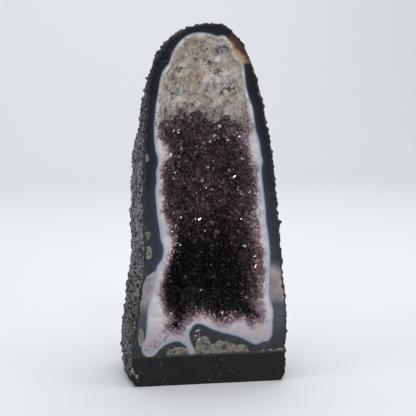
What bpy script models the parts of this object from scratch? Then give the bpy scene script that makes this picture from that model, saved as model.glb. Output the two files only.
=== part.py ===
# Amethyst geode: a tall geode split lengthways, its sawn and polished face to the front (-Y).
#
# It stands upright on a flat foot. Three pieces: the rock shell with its hollow, the one
# crust of quartz and amethyst crystals that lines the hollow, and the foot cast under it.
# Tables are in millimetres, seen from the front: x to the right, z up. Meshes are in metres.

import math
import random

import bmesh
import bpy
from mathutils import Vector, noise

METRES = 0.001

# Driving sizes of the whole object
HEIGHT = 320.0
DEPTH = 113.0
FACE_Y = -DEPTH / 2
FOOT_HEIGHT = 27.0
GAP = 0.3

# Left and right edges of the sawn face as (x, z), from the top of the foot to the crown
ROCK_LEFT = (
    (-69.5, 27), (-67, 48), (-61.5, 84), (-58, 111), (-58.5, 164), (-58, 211),
    (-55.5, 244), (-51.5, 274), (-43, 295), (-29, 310.5), (-12, 318.5), (2, HEIGHT),
)
ROCK_RIGHT = (
    (70, 27), (71, 50), (68, 92), (64.5, 131), (60.5, 170), (57.5, 203),
    (50, 241), (42, 275), (30.5, 299), (16, 317), (2, HEIGHT),
)

# The foot's two front edges, straight down from the rock, and the levels it is built up from
FOOT_LEFT_X = -69.5
FOOT_RIGHT_X = 70.0
FOOT_ROUNDING = 8.0
FOOT_DRAWN_IN = 6.4
FOOT_FRONT_CHAMFER = 1.0
FOOT_LEVELS = (0.0, 1.2, 3.0, 5.5, FOOT_ROUNDING, 14.0, 20.0, FOOT_HEIGHT - GAP)

# From the sawn face to the back, and the share by which the flanks swell behind the face
ROCK_DEPTH = ((0, DEPTH), (90, 111), (150, 104), (210, 92), (255, 74))
ROCK_SWELL = ((0, 0.20), (60, 0.27), (120, 0.34), (190, 0.33), (245, 0.14), (280, 0.02))
CROWN_START = 255.0

# How square a level section is at the sides and at the back: 1 is an ellipse, 0 a box
SIDE_POWER = 0.6
BACK_POWER = 0.85

# Where the hollow in the rock meets the sawn face, which is the outer edge of the quartz.
# Four runs, clockwise from the top left: the top, the right side, the bottom, the left side.
HOLLOW_EDGE = (
    ((-28.5, 300), (-18, 309), (-8, 311.5), (1, 310.5), (9, 309.5)),
    (
        (17.5, 306), (22, 295), (29.5, 287), (32, 270), (38, 249), (41.5, 228), (47, 203),
        (47, 190), (50, 168), (52, 150), (54.5, 123), (55.2, 98), (55, 80), (58.5, 64),
    ),
    (
        (57.5, 45), (54, 38), (43, 35), (36, 38.5), (20, 45), (2, 51), (-9, 56),
        (-15, 53), (-22.5, 43), (-33, 41), (-46, 33), (-54, 31),
    ),
    (
        (-59, 35), (-55.5, 48), (-54, 67), (-49.5, 87), (-46.5, 103), (-40.5, 116),
        (-41, 130), (-45.5, 158), (-46.5, 176), (-44.3, 201), (-47.5, 222), (-46, 250),
        (-41.5, 273), (-34, 286.5),
    ),
)

# Where the crystals start on the sawn face, which is the inner edge of the quartz
CRYSTAL_EDGE = (
    ((-25, 298), (-13, 306.5), (1, 307.5), (9, 306)),
    (
        (14.5, 303), (19, 292.5), (26.5, 284.5), (29, 268), (35, 246), (36.5, 230),
        (35.5, 212), (41.5, 192), (43, 166), (44.5, 141), (48.8, 117), (49, 90), (46.5, 70),
    ),
    (
        (49.5, 60), (43.5, 56), (39, 53), (32, 58), (18, 56), (10.5, 55.5), (-3, 63),
        (-10, 63.5), (-17, 58.5), (-25, 49.5), (-34, 50),
    ),
    (
        (-36.5, 55), (-35, 61), (-41, 74), (-41.7, 93), (-35.5, 114), (-31, 131),
        (-35, 147), (-40.5, 165), (-40.5, 196), (-35.5, 207), (-42.5, 221), (-42.5, 250),
        (-38.5, 271), (-31, 285.5),
    ),
)

# Depths behind the sawn face up the middle of the hollow, in the rock and in its crystals,
# and how bluntly they rise from the edge across the hollow and along it
HOLLOW_DEPTH = ((85, 86), (130, 79), (200, 60), (262, 34))
CAVITY_DEPTH = ((85, 74), (130, 67), (200, 48), (262, 22))
BLUNT_ACROSS = 2.6
BLUNT_ALONG = 7.0

# How finely each piece is made, and the steps that its curves are read at
BODY_RINGS = 24
BODY_RING_POINTS = 30
HOLLOW_COLUMNS = 22
HOLLOW_ROWS = 28
CRYSTAL_COLUMNS = 44
CRYSTAL_ROWS = 34
CURVE_STEPS = 12
SIDE_STEPS = 120
CUTTER_OVERRUN = 10.0

# Crystals of the lining, and the smoother pale growth above them. A crystal's height is
# a share of its cell's width, and its lean is a share of its height.
CRYSTAL_HEIGHT = (0.45, 0.85)
CRYSTAL_LEAN = 0.25
CELL_JITTER = 1.5
STAGGER = 1 / 6
PALE_GROWTH_FROM = 236.0
PALE_GROWTH_HEIGHT = (0.05, 0.3)

# Lumps of the outer coat as (size of a lump, how far it stands out)
LUMPS = ((34.0, 2.2), (13.0, 1.1), (6.0, 0.6))
LUMP_FADE = 12.0
SEED = 11


def clear_scene():
    for old in list(bpy.data.objects):
        bpy.data.objects.remove(old)


def along(table, position):
    # Smooth reading of a (position, value) table, level beyond its ends
    if position <= table[0][0]:
        return table[0][1]
    for (start, first), (end, last) in zip(table, table[1:]):
        if position <= end:
            share = (position - start) / (end - start)
            return first + (last - first) * share * share * (3 - 2 * share)
    return table[-1][1]


def curve_through(points, closed=False):
    # Dense points of the smooth curve that passes through the given ones
    count = len(points)
    spans = count if closed else count - 1
    dense = []
    for span in range(spans):
        before, start, end, after = (
            Vector(points[k % count] if closed else points[max(0, min(count - 1, k))])
            for k in range(span - 1, span + 3)
        )
        for step in range(CURVE_STEPS):
            t = step / CURVE_STEPS
            pull = (end - before) * t + (2 * before - 5 * start + 4 * end - after) * t**2
            pull += (3 * start - before - 3 * end + after) * t**3
            dense.append(start + pull / 2)
    dense.append(Vector(points[0] if closed else points[-1]))
    return dense


def even_shares(points, steps):
    # Shares of a dense line, by its point numbers, that lie at even distances along it
    reach = [0.0]
    for a, b in zip(points, points[1:]):
        reach.append(reach[-1] + (b - a).length)
    shares = []
    span = 0
    for k in range(steps + 1):
        wanted = reach[-1] * k / steps
        while span < len(points) - 2 and reach[span + 1] < wanted:
            span += 1
        inside = (wanted - reach[span]) / (reach[span + 1] - reach[span])
        shares.append((span + inside) / (len(points) - 1))
    return shares


def read_line(points, share):
    # The point at a share of a line, by its point numbers
    place = min(1.0, max(0.0, share)) * (len(points) - 1)
    before = min(int(place), len(points) - 2)
    return points[before].lerp(points[before + 1], place - before)


def even_steps(points, steps):
    return [read_line(points, share) for share in even_shares(points, steps)]


def lumpy(point, middle):
    # Moves a point of the coat in or out along the direction away from the body's middle
    fade = min(1.0, max(0.0, (point.y - FACE_Y) / LUMP_FADE))
    away = (point - middle).normalized()
    out = sum(noise.noise(point / size) * height for size, height in LUMPS)
    return point + away * out * fade


def body_section(left, right, inset=0.0, set_back=0.0):
    # One level ring of the body: from the face's right edge round the back to its left edge
    middle_x, middle_z = (left[0] + right[0]) / 2, (left[1] + right[1]) / 2
    half, rise = (right[0] - left[0]) / 2, (right[1] - left[1]) / 2
    depth = along(ROCK_DEPTH, middle_z)
    if middle_z > CROWN_START:
        over = min(1.0, (middle_z - CROWN_START) / (HEIGHT - CROWN_START))
        depth *= math.sqrt(1 - over**2)
    swell = along(ROCK_SWELL, middle_z)
    ring = []
    for step in range(SIDE_STEPS + 1):
        angle = math.pi * step / SIDE_STEPS
        across, back = math.cos(angle), math.sin(angle)
        width = math.copysign(abs(across) ** SIDE_POWER, across) * (1 + swell * back)
        x = middle_x + (half - inset) * width
        y = FACE_Y + set_back + (depth - inset - set_back) * back**BACK_POWER
        ring.append(Vector((x, y, middle_z + rise * across)))
    middle = Vector((middle_x, FACE_Y + depth / 2, middle_z))
    return [lumpy(p, middle) for p in even_steps(ring, BODY_RING_POINTS)]


def edge_sides(edge, shrink):
    # The top and bottom of an edge from left to right, and its left and right downwards
    dense = curve_through([point for run in edge for point in run], closed=True)[:-1]
    drawn_in = []
    for k, point in enumerate(dense):
        outward = (dense[(k + 1) % len(dense)] - dense[k - 1]).orthogonal().normalized()
        drawn_in.append(point - outward * shrink)
    drawn_in.append(drawn_in[0])
    sides = []
    start = 0
    for run in edge:
        end = start + len(run) * CURVE_STEPS
        sides.append(even_steps(drawn_in[start:end + 1], SIDE_STEPS))
        start = end
    top, right, bottom, left = sides
    return top, bottom[::-1], left[::-1], right


def rise(share, bluntness):
    # From 0 at either end of a line across the hollow to 1 at its middle
    return math.sqrt(max(0.0, 1 - abs(2 * share - 1) ** bluntness))


def hollow_sheet(edge, depths, columns, rows, shrink=0.0, stagger=0.0):
    # Rows of points over the hollow's wall, from its edge at the top to its edge at the bottom.
    # They are evenly spaced up the middle and across it. A stagger moves every other point of
    # a row up or down by that share of a row.
    top, bottom, left, right = edge_sides(edge, shrink)

    def wall_point(u, v):
        along_it = read_line(top, u).lerp(read_line(bottom, u), v)
        across_it = read_line(left, v).lerp(read_line(right, v), u)
        flat = along_it + across_it - top[0].lerp(top[-1], u).lerp(bottom[0].lerp(bottom[-1], u), v)
        depth = along(depths, flat.y) - shrink
        return Vector((flat.x, FACE_Y + depth * rise(u, BLUNT_ACROSS) * rise(v, BLUNT_ALONG), flat.y))

    steps = [k / SIDE_STEPS for k in range(SIDE_STEPS + 1)]
    across = even_shares([wall_point(share, 0.5) for share in steps], columns)
    down = even_shares([wall_point(0.5, share) for share in steps], rows)
    sheet = []
    for row in range(rows + 1):
        line = []
        for column, u in enumerate(across):
            shift = stagger if (row + column) % 2 else -stagger
            moved = row + shift if 0 < row < rows and 0 < column < columns else row
            before = min(int(moved), rows - 1)
            v = down[before] + (down[before + 1] - down[before]) * (moved - before)
            line.append(wall_point(u, v))
        sheet.append(line)
    return sheet


def add_row(mesh, points):
    return [mesh.verts.new(p * METRES) for p in points]


def add_sheet(mesh, sheet, split=False):
    # Joins rows of points by quads, or by two triangles each where they are split
    grid = [add_row(mesh, row) for row in sheet]
    for upper, lower in zip(grid, grid[1:]):
        for k in range(len(upper) - 1):
            quad = (upper[k], upper[k + 1], lower[k + 1], lower[k])
            if split:
                mesh.faces.new(quad[:3])
                mesh.faces.new((quad[0], quad[2], quad[3]))
            else:
                mesh.faces.new(quad)
    return grid


def rim_of(grid):
    # The sheet's outer ring of points, clockwise from the top left
    right = [row[-1] for row in grid]
    left = [row[0] for row in grid]
    return grid[0][:-1] + right[:-1] + grid[-1][:0:-1] + left[:0:-1]


def ring_edges(mesh, ring):
    return [mesh.edges.get(pair) or mesh.edges.new(pair) for pair in zip(ring, ring[1:] + ring[:1])]


def skin(mesh, rings):
    # Closed rings joined by quads, ring to ring
    for lower, upper in zip(rings, rings[1:]):
        for k in range(len(lower)):
            after = (k + 1) % len(lower)
            mesh.faces.new((lower[k], lower[after], upper[after], upper[k]))


def finish(name, mesh, material):
    bmesh.ops.triangulate(mesh, faces=mesh.faces[:], ngon_method="BEAUTY")
    bmesh.ops.recalc_face_normals(mesh, faces=mesh.faces[:])
    data = bpy.data.meshes.new(name)
    mesh.to_mesh(data)
    mesh.free()
    data.materials.append(material)
    piece = bpy.data.objects.new(name, data)
    bpy.context.scene.collection.objects.link(piece)
    return piece


def finish_of(name, color, roughness):
    material = bpy.data.materials.new(name)
    material.use_nodes = True
    shader = material.node_tree.nodes["Principled BSDF"]
    shader.inputs["Base Color"].default_value = (*color, 1)
    shader.inputs["Roughness"].default_value = roughness
    shader.inputs["Metallic"].default_value = 0.0
    return material


def rock_body():
    # The whole stone above the foot, before it is hollowed
    left = even_steps(curve_through(ROCK_LEFT), BODY_RINGS)
    right = even_steps(curve_through(ROCK_RIGHT), BODY_RINGS)
    mesh = bmesh.new()
    rings = [add_row(mesh, body_section(a, b)) for a, b in zip(left[:-1], right[:-1])]
    skin(mesh, rings)
    mesh.faces.new(rings[0])
    crown = mesh.verts.new(Vector((left[-1].x, FACE_Y, left[-1].y)) * METRES)
    top = rings[-1]
    for a, b in zip(top, top[1:] + top[:1]):
        mesh.faces.new((a, b, crown))
    return mesh


def hollow_cutter(material):
    # The shape of the hollow, run out in front of the sawn face so that it cuts cleanly
    mesh = bmesh.new()
    sheet = hollow_sheet(HOLLOW_EDGE, HOLLOW_DEPTH, HOLLOW_COLUMNS, HOLLOW_ROWS)
    rim = rim_of(add_sheet(mesh, sheet, split=True))
    front = [mesh.verts.new(vert.co - Vector((0, CUTTER_OVERRUN * METRES, 0))) for vert in rim]
    skin(mesh, [rim, front])
    mesh.faces.new(front)
    cutter = finish("hollow_cutter", mesh, material)
    cutter.hide_render = True
    cutter.display_type = "WIRE"
    return cutter


def make_rock_shell():
    material = finish_of("rock", (0.045, 0.047, 0.052), 0.85)
    shell = finish("rock_shell", rock_body(), material)
    cut = shell.modifiers.new("hollow", "BOOLEAN")
    cut.operation = "DIFFERENCE"
    cut.solver = "EXACT"
    cut.object = hollow_cutter(material)


def make_cast_foot():
    # The foot goes on with the body's level rings and is drawn in at the floor
    mesh = bmesh.new()
    rings = []
    for z in FOOT_LEVELS:
        below = max(0.0, 1 - z / FOOT_ROUNDING)
        inset = FOOT_DRAWN_IN * (1 - math.sqrt(1 - below**2))
        chamfer = max(0.0, FOOT_FRONT_CHAMFER - z)
        section = body_section((FOOT_LEFT_X, z), (FOOT_RIGHT_X, z), inset, chamfer)
        rings.append(add_row(mesh, section))
    skin(mesh, rings)
    mesh.faces.new(rings[0])
    mesh.faces.new(rings[-1])
    finish("cast_foot", mesh, finish_of("foot", (0.016, 0.016, 0.017), 0.5))


def grow_crystals(mesh, grid, chance):
    # Neighbouring quads become one six-sided cell, set like bricks, and each cell is raised
    # to a point: a field of six-sided crystals grown together
    shared = []
    for row, (upper, lower) in enumerate(zip(grid, grid[1:])):
        for k in range(1 + row % 2, len(upper) - 1, 2):
            shared.append(mesh.edges.get((upper[k], lower[k])))
    for row in grid[1:-1]:
        for vert in row[1:-1]:
            shift = Vector([chance.uniform(-1, 1) for _ in range(3)])
            vert.co += shift * CELL_JITTER * METRES
    bmesh.ops.dissolve_edges(mesh, edges=shared, use_verts=False)
    inner = {vert for row in grid for vert in row}
    cells = [face for face in mesh.faces if inner.issuperset(face.verts)]
    mesh.normal_update()
    normals = [cell.normal.copy() for cell in cells]
    widths = [math.sqrt(cell.calc_area()) for cell in cells]
    tips = bmesh.ops.poke(mesh, faces=cells, center_mode="MEAN")["verts"]
    for tip, normal, width in zip(tips, normals, widths):
        pale = tip.co.z > PALE_GROWTH_FROM * METRES
        low, high = PALE_GROWTH_HEIGHT if pale else CRYSTAL_HEIGHT
        lean = Vector([chance.uniform(-1, 1) for _ in range(3)]) * CRYSTAL_LEAN
        tip.co += (normal * chance.uniform(low, high) + lean * high) * width
        tip.co.y = max(tip.co.y, (FACE_Y + GAP) * METRES)


def make_crystal_crust():
    mesh = bmesh.new()
    back = hollow_sheet(HOLLOW_EDGE, HOLLOW_DEPTH, HOLLOW_COLUMNS, HOLLOW_ROWS, GAP)
    outer = add_sheet(mesh, back, split=True)
    front = hollow_sheet(CRYSTAL_EDGE, CAVITY_DEPTH, CRYSTAL_COLUMNS, CRYSTAL_ROWS, stagger=STAGGER)
    inner = add_sheet(mesh, front)
    rims = ring_edges(mesh, rim_of(outer)) + ring_edges(mesh, rim_of(inner))
    bmesh.ops.triangle_fill(mesh, edges=rims, use_beauty=True)
    bmesh.ops.recalc_face_normals(mesh, faces=mesh.faces[:])
    grow_crystals(mesh, inner, random.Random(SEED))
    finish("crystal_crust", mesh, finish_of("crystal", (0.10, 0.05, 0.09), 0.2))


clear_scene()
make_rock_shell()
make_crystal_crust()
make_cast_foot()
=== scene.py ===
import math

import bmesh
import bpy
import numpy as np
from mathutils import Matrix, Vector, geometry, noise


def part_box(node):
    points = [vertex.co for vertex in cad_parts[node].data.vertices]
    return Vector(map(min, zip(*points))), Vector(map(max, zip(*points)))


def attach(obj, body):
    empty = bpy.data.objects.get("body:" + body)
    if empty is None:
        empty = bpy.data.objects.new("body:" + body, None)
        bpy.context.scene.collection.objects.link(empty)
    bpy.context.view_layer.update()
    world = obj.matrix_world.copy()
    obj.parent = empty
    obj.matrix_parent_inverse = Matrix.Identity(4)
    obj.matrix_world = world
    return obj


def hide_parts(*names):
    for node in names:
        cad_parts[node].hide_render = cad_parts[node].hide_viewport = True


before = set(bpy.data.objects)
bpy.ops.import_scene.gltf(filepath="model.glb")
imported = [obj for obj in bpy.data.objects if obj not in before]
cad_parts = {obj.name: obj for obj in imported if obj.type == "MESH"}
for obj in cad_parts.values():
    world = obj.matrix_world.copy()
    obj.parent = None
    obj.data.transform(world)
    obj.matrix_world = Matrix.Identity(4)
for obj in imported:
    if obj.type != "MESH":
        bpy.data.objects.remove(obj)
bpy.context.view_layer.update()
mm = 0.001
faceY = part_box("rock_shell")[0][1] / mm      # the sawn face's plane, in mm
print("frame loaded")


# shared helpers: lengths in mm until a mesh is made

def linear(r, g, b):
    # a colour as the eye sees it, 0 to 255, made linear for the shaders
    parts = [c / 255 for c in (r, g, b)]
    return (*[c / 12.92 if c < 0.04 else ((c + 0.055) / 1.055) ** 2.4 for c in parts], 1.0)


def climb(value, low, high):
    # 0 at low, 1 at high, level beyond; high may be the smaller one
    return np.clip((value - low) / (high - low), 0, 1)


def readTable(table, position):
    # smooth reading of (position, value) pairs
    xs, ys = np.array(table, float).T
    k = np.clip(np.searchsorted(xs, position, side="right") - 1, 0, len(xs) - 2)
    t = climb(position, xs[k], xs[k + 1])
    return ys[k] + (ys[k + 1] - ys[k]) * t * t * (3 - 2 * t)


def curveThrough(points, closed=False, steps=12):
    # dense points of the smooth curve through the given ones
    p = np.array(points, float)
    if closed:
        p = np.vstack([p[-1], p, p[:2]])
    else:
        p = np.vstack([p[0], p, p[-1]])
    t = (np.arange(steps) / steps)[:, None]
    spans = []
    for a, b, c, d in zip(p, p[1:], p[2:], p[3:]):
        square, cube = 2 * a - 5 * b + 4 * c - d, 3 * b - a - 3 * c + d
        spans.append(b + 0.5 * ((c - a) * t + square * t**2 + cube * t**3))
    spans.append(p[-2][None])
    return np.vstack(spans)


def ringThrough(runs):
    # the closed curve through the points of a line's runs
    return curveThrough([p for run in runs for p in run], closed=True)


def readLine(line, share):
    # points at shares of a line, counted by its own points
    place = np.clip(share, 0, 1) * (len(line) - 1)
    k = np.minimum(place.astype(int), len(line) - 2)
    t = (place - k)[..., None]
    return line[k] * (1 - t) + line[k + 1] * t


def lengthsAlong(line):
    # the way from a line's start to each of its points
    return np.concatenate([[0], np.cumsum(np.linalg.norm(np.diff(line, axis=0), axis=1))])


def evenShares(line, steps):
    reach = lengthsAlong(line)
    return np.interp(np.linspace(0, reach[-1], steps + 1), reach, np.linspace(0, 1, len(line)))


def evenly(line, steps):
    return readLine(line, evenShares(line, steps))


def distanceTo(points, line):
    # shortest distance from each flat point to a line of short straight bits
    a, b = line[:-1], line[1:]
    d = b - a
    size = np.maximum((d**2).sum(axis=1), 1e-9)
    best = np.empty(len(points))
    for start in range(0, len(points), 4000):
        p = points[start:start + 4000, None, :]
        t = np.clip(((p - a) * d).sum(axis=2) / size, 0, 1)
        best[start:start + 4000] = np.sqrt((((p - a) - d * t[..., None])**2).sum(axis=2).min(axis=1))
    return best


def unit(vectors):
    # the same directions, each with a length of 1
    return vectors / np.maximum(np.linalg.norm(vectors, axis=-1, keepdims=True), 1e-6)


def noiseAt(points, size):
    return np.array([noise.noise(Vector(p) / size) for p in points.reshape(-1, 3)]).reshape(points.shape[:-1])


def normalsOf(grid):
    # a sheet's normals, smoothed, so that its tight corners have sound ones too
    normal = np.cross(np.gradient(grid, axis=1), np.gradient(grid, axis=0))
    for turn in range(4):
        padded = np.pad(normal, ((1, 1), (1, 1), (0, 0)), mode="edge")
        normal = (padded[:-2, 1:-1] + padded[2:, 1:-1] + padded[1:-1, :-2] + padded[1:-1, 2:] + normal) / 5
    return unit(normal)


def addGrid(bm, points):
    # a grid primitive whose points are put where the array says; rows first
    rows, columns = points.shape[0] - 1, points.shape[1] - 1
    made = bmesh.ops.create_grid(bm, x_segments=columns, y_segments=rows, size=0.5)["verts"]
    place = points * mm
    for v in made:
        v.co = place[round((v.co.y + 0.5) * rows), round((v.co.x + 0.5) * columns)]
    return made


def facesOf(verts):
    return {f for v in verts for f in v.link_faces}


def openEdges(bm):
    return [e for e in bm.edges if len(e.link_faces) == 1]


def insideOf(points, line):
    # whether flat points lie inside a closed line
    a, b = line, np.roll(line, -1, axis=0)
    tall = np.where(a[:, 1] == b[:, 1], 1e-9, b[:, 1] - a[:, 1])
    inside = np.empty(len(points), bool)
    for start in range(0, len(points), 4000):
        x, z = points[start:start + 4000, :1], points[start:start + 4000, 1:]
        besideLine = x < a[:, 0] + (z - a[:, 1]) * (b[:, 0] - a[:, 0]) / tall
        crossed = ((a[:, 1] > z) != (b[:, 1] > z)) & besideLine
        inside[start:start + 4000] = crossed.sum(axis=1) % 2 == 1
    return inside


def addFlat(bm, outer, inner, index, step):
    # a flat sheet of even triangles on the sawn plane, between two closed lines, joined on
    outer, inner = outer[:, (0, 2)], inner[:, (0, 2)]
    low, high = outer.min(axis=0), outer.max(axis=0)
    x, z = np.meshgrid(np.arange(low[0], high[0], step), np.arange(low[1], high[1], step * 0.87))
    x[1::2] += step / 2
    free = np.stack([x.ravel(), z.ravel()], axis=1)
    free = free[insideOf(free, outer) & ~insideOf(free, inner)]
    for line in (outer, inner):
        free = free[distanceTo(free, np.vstack([line, line[:1]])) > step * 0.55]
    points = np.vstack([outer, inner, free])
    rings = [(k, (k + 1) % len(outer)) for k in range(len(outer))]
    rings += [(len(outer) + k, len(outer) + (k + 1) % len(inner)) for k in range(len(inner))]
    net = geometry.delaunay_2d_cdt([Vector(p) for p in points], rings, [], 0, 1e-5, False)
    place, faces = np.array(net[0]), net[2]
    centres = place[np.array(faces)].mean(axis=1)
    wanted = insideOf(centres, outer) & ~insideOf(centres, inner)
    carrier = bpy.data.meshes.new("sheet")
    carrier.from_pydata([(x * mm, faceY * mm, z * mm) for x, z in place.tolist()], [],
                        [face for face, keep in zip(faces, wanted) if keep])
    carrier.polygons.foreach_set("material_index", [index] * len(carrier.polygons))
    bm.from_mesh(carrier)
    bpy.data.meshes.remove(carrier)
    bmesh.ops.remove_doubles(bm, verts=bm.verts, dist=2e-6)
    bmesh.ops.delete(bm, geom=[v for v in bm.verts if not v.link_faces], context="VERTS")


def show(name, data):
    shown = bpy.data.objects.new(name, data)
    bpy.context.scene.collection.objects.link(shown)
    return shown


def showMesh(name, bm, finishes):
    mesh = bpy.data.meshes.new(name)
    bm.to_mesh(mesh)
    bm.free()
    for finish in finishes:
        mesh.materials.append(finish.material)
    return show(name, mesh)


def makePiece(name, bm, finishes, node):
    piece = showMesh(name, bm, finishes)
    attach(piece, "root")
    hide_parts(node)
    return piece


def giveAttribute(mesh, name, values):
    layer = mesh.attributes.new(name, "FLOAT", "POINT")
    layer.data.foreach_set("value", np.asarray(values, np.float32).ravel())


def coordinatesOf(mesh):
    flat = np.empty(len(mesh.vertices) * 3, np.float32)
    mesh.vertices.foreach_get("co", flat)
    return flat.reshape(-1, 3).astype(float) / mm


def giveDistances(mesh, within, **lines):
    # how far each point of the sawn face is from each line on it; elsewhere the line's second value
    place = coordinatesOf(mesh)
    onFace = place[:, 1] < faceY + within
    for name, (line, beyond) in lines.items():
        values = np.full(len(place), beyond)
        values[onFace] = distanceTo(place[onFace][:, (0, 2)], line)
        giveAttribute(mesh, name, values)


# shader helpers

class Value:
    # a socket that can stand in a sum
    def __init__(self, tree, socket):
        self.tree = tree
        self.socket = socket

    def calc(self, operation, *others, swap=False, clamp=False):
        node = self.tree.nodes.new("ShaderNodeMath")
        node.operation = operation
        node.use_clamp = clamp
        terms = [*others, self] if swap else [self, *others]
        for entry, term in zip(node.inputs, terms):
            if isinstance(term, Value):
                self.tree.links.new(term.socket, entry)
            else:
                entry.default_value = term
        return Value(self.tree, node.outputs[0])

    def __add__(self, other):
        return self.calc("ADD", other)

    def __sub__(self, other):
        return self.calc("SUBTRACT", other)

    def __rsub__(self, other):
        return self.calc("SUBTRACT", other, swap=True)

    def __mul__(self, other):
        return self.calc("MULTIPLY", other)

    def __truediv__(self, other):
        return self.calc("DIVIDE", other)

    __radd__ = __add__
    __rmul__ = __mul__

    def rise(self, low, high):
        # 0 at low, 1 at high, level beyond; high may be the smaller one
        return self.calc("MULTIPLY_ADD", 1 / (high - low), -low / (high - low), clamp=True)

    def near(self, middle, reach):
        # 1 at the middle, 0 further off than the reach
        return (self - middle).calc("ABSOLUTE").rise(reach, 0)


def largest(values):
    best = values[0]
    for value in values[1:]:
        best = best.calc("MAXIMUM", value)
    return best


class Finish:
    def __init__(self, name, **plain):
        self.material = bpy.data.materials.new(name)
        self.material.use_nodes = True
        self.tree = self.material.node_tree
        self.shader = self.tree.nodes["Principled BSDF"]
        self.place = self.add("ShaderNodeTexCoord", out="Object")
        x, y, z = (self.add("ShaderNodeSeparateXYZ", {}, {0: self.place}, out=k) for k in range(3))
        self.x, self.y, self.z = x * 1000, y * 1000, z * 1000      # in mm
        for socket, value in plain.items():
            self.shader.inputs[socket.replace("_", " ")].default_value = value

    def add(self, kind, settings=None, sockets=None, out=0):
        node = self.tree.nodes.new(kind)
        for key, value in (settings or {}).items():
            if key == "stops":
                stops = node.color_ramp.elements
                stops[0].position, stops[1].position = value[0][0], value[-1][0]
                stops[0].color, stops[1].color = value[0][1], value[-1][1]
                for position, color in value[1:-1]:
                    stops.new(position).color = color
            else:
                setattr(node, key, value)
        for key, value in (sockets or {}).items():
            if isinstance(value, Value):
                self.tree.links.new(value.socket, node.inputs[key])
            else:
                node.inputs[key].default_value = value
        return Value(self.tree, node.outputs[out])

    def noise(self, size, detail=2.0, rough=0.5, warp=0.0):
        return self.add("ShaderNodeTexNoise", {}, {
            "Vector": self.place, "Scale": 1000 / size, "Detail": detail,
            "Roughness": rough, "Distortion": warp})

    def cells(self, size, feature="F1"):
        sockets = {"Vector": self.place, "Scale": 1000 / size}
        return self.add("ShaderNodeTexVoronoi", {"feature": feature}, sockets, "Distance")

    def attribute(self, name):
        return self.add("ShaderNodeAttribute", {"attribute_name": name}, out="Fac")

    def mix(self, factor, a, b):
        # b laid over a, each a socket or a plain colour
        a, b = (c if isinstance(c, Value) else linear(*c) for c in (a, b))
        return self.add("ShaderNodeMix", {"data_type": "RGBA"}, {0: factor, 6: a, 7: b}, out=2)

    def ramp(self, value, *stops):
        # colours along a value, each stop its place and its colour
        settings = {"stops": [(place, linear(*color)) for place, color in stops]}
        return self.add("ShaderNodeValToRGB", settings, {0: value})

    def curve(self, value, pairs, top=1.0):
        # a drawn curve through (position, height) pairs; heights from 0 to the top
        low, high = pairs[0][0], pairs[-1][0]
        stops = [((p - low) / (high - low), (h / top, h / top, h / top, 1.0)) for p, h in pairs]
        return self.add("ShaderNodeValToRGB", {"stops": stops}, {0: (value - low) / (high - low)}) * top

    def patches(self, places):
        # 1 in the middle of each round patch (x, z, half width, half height), 0 on its border
        spots = []
        for x, z, wide, tall in places:
            across, up = (self.x - x) / wide, (self.z - z) / tall
            spots.append(1.0 - across * across - up * up)
        return largest(spots)

    def feed(self, **sockets):
        for socket, value in sockets.items():
            self.tree.links.new(value.socket, self.shader.inputs[socket.replace("_", " ")])

    def bump(self, height, distance, strength):
        sockets = {"Height": height, "Distance": distance * mm, "Strength": strength}
        self.feed(Normal=self.add("ShaderNodeBump", {}, sockets))


# the rock: a rough dark coat behind, a sawn and polished agate face in front

stone = {
    "left": ((-69.5, 27), (-67, 48), (-61.5, 84), (-58, 111), (-58.5, 164), (-58, 211),
             (-55.5, 244), (-51.5, 274), (-43, 295), (-29, 310.5), (-12, 318.5), (2, 320)),
    "right": ((70, 27), (71, 50), (68, 92), (64.5, 131), (60.5, 170), (57.5, 203),
              (50, 241), (42, 275), (31.5, 299.5), (17, 317), (2, 320)),
    "depth": ((0, 113), (90, 111), (150, 104), (210, 92), (255, 74)),
    "swell": ((0, 0.20), (60, 0.27), (120, 0.34), (190, 0.30), (245, 0.06), (280, -0.06)),
    "sidePower": ((225, 0.6), (245, 0.66), (275, 0.76), (300, 0.8)),
    "bottom": 27, "crownStart": 255, "height": 320, "backPower": 0.85,
    "lumps": ((34, 2.2), (13, 1.1), (6, 0.6)), "lumpFade": 12,
    "rows": 330, "columns": 240, "bottomSteps": 130, "faceStep": 1.5,
    "wormSize": 2.5, "wormBend": 1.1, "wormHeight": 0.7, "pitSize": 2.2, "pitDepth": 0.9,
    "knobSize": 4.2, "knobHeight": 3.0,
    # single knobs: place, reach and height
    "knobs": ((-47.9, -22, 272, 1.9, 6.0), (63.2, -55.5, 145.4, 1.7, 4.0)),
}

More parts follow.
